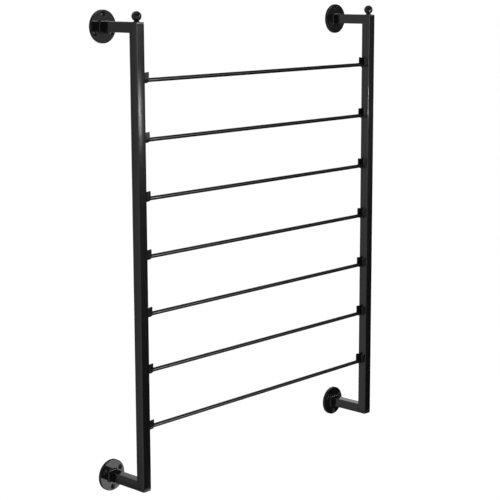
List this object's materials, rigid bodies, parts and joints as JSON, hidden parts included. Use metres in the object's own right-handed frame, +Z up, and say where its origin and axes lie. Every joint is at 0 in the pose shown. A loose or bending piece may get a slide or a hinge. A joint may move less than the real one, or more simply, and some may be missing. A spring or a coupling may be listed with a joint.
{
  "type": "towel warmer rack",
  "caption": "Wall-hung black towel rack of square tube side frames on round screw flanges, with loose round rods lying in open-topped U cradles between them.",
  "frame": {"origin": "centre of the wall plane: on the backs of the flanges, halfway between the side frames and halfway up them", "axes": "+X along the rods to the right as seen from the room, +Y into the wall, +Z up"},
  "size_m": [0.758, 0.108, 0.954],
  "materials": {
    "frame_black": "gloss",
    "flange_black": "high gloss",
    "fitting_black": "gloss",
    "rod_black": "gloss"
  },
  "bodies": {
    "frame": {"left_upright": "frame_black", "left_upper_arm": "frame_black", "left_lower_arm": "frame_black", "left_upper_flange": "flange_black", "left_lower_flange": "flange_black", "left_top_cap": "fitting_black", "left_bottom_cap": "fitting_black", "left_finial": "fitting_black", "left_cradle_1": "fitting_black", "left_cradle_2": "fitting_black", "left_cradle_3": "fitting_black", "left_cradle_4": "fitting_black", "left_cradle_5": "fitting_black", "left_cradle_6": "fitting_black", "left_cradle_7": "fitting_black", "right_upright": "frame_black", "right_upper_arm": "frame_black", "right_lower_arm": "frame_black", "right_upper_flange": "flange_black", "right_lower_flange": "flange_black", "right_top_cap": "fitting_black", "right_bottom_cap": "fitting_black", "right_finial": "fitting_black", "right_cradle_1": "fitting_black", "right_cradle_2": "fitting_black", "right_cradle_3": "fitting_black", "right_cradle_4": "fitting_black", "right_cradle_5": "fitting_black", "right_cradle_6": "fitting_black", "right_cradle_7": "fitting_black"},
    "rod_1": {"rod_1": "rod_black"},
    "rod_2": {"rod_2": "rod_black"},
    "rod_3": {"rod_3": "rod_black"},
    "rod_4": {"rod_4": "rod_black"},
    "rod_5": {"rod_5": "rod_black"},
    "rod_6": {"rod_6": "rod_black"},
    "rod_7": {"rod_7": "rod_black"}
  },
  "joints": [
    {"name": "rod_1_lift", "type": "slide", "parent": "frame", "child": "rod_1", "axis": [0, 0, 1], "range_m": [0, 0.03]},
    {"name": "rod_2_lift", "type": "slide", "parent": "frame", "child": "rod_2", "axis": [0, 0, 1], "range_m": [0, 0.03]},
    {"name": "rod_3_lift", "type": "slide", "parent": "frame", "child": "rod_3", "axis": [0, 0, 1], "range_m": [0, 0.03]},
    {"name": "rod_4_lift", "type": "slide", "parent": "frame", "child": "rod_4", "axis": [0, 0, 1], "range_m": [0, 0.03]},
    {"name": "rod_5_lift", "type": "slide", "parent": "frame", "child": "rod_5", "axis": [0, 0, 1], "range_m": [0, 0.03]},
    {"name": "rod_6_lift", "type": "slide", "parent": "frame", "child": "rod_6", "axis": [0, 0, 1], "range_m": [0, 0.03]},
    {"name": "rod_7_lift", "type": "slide", "parent": "frame", "child": "rod_7", "axis": [0, 0, 1], "range_m": [0, 0.03]}
  ]
}
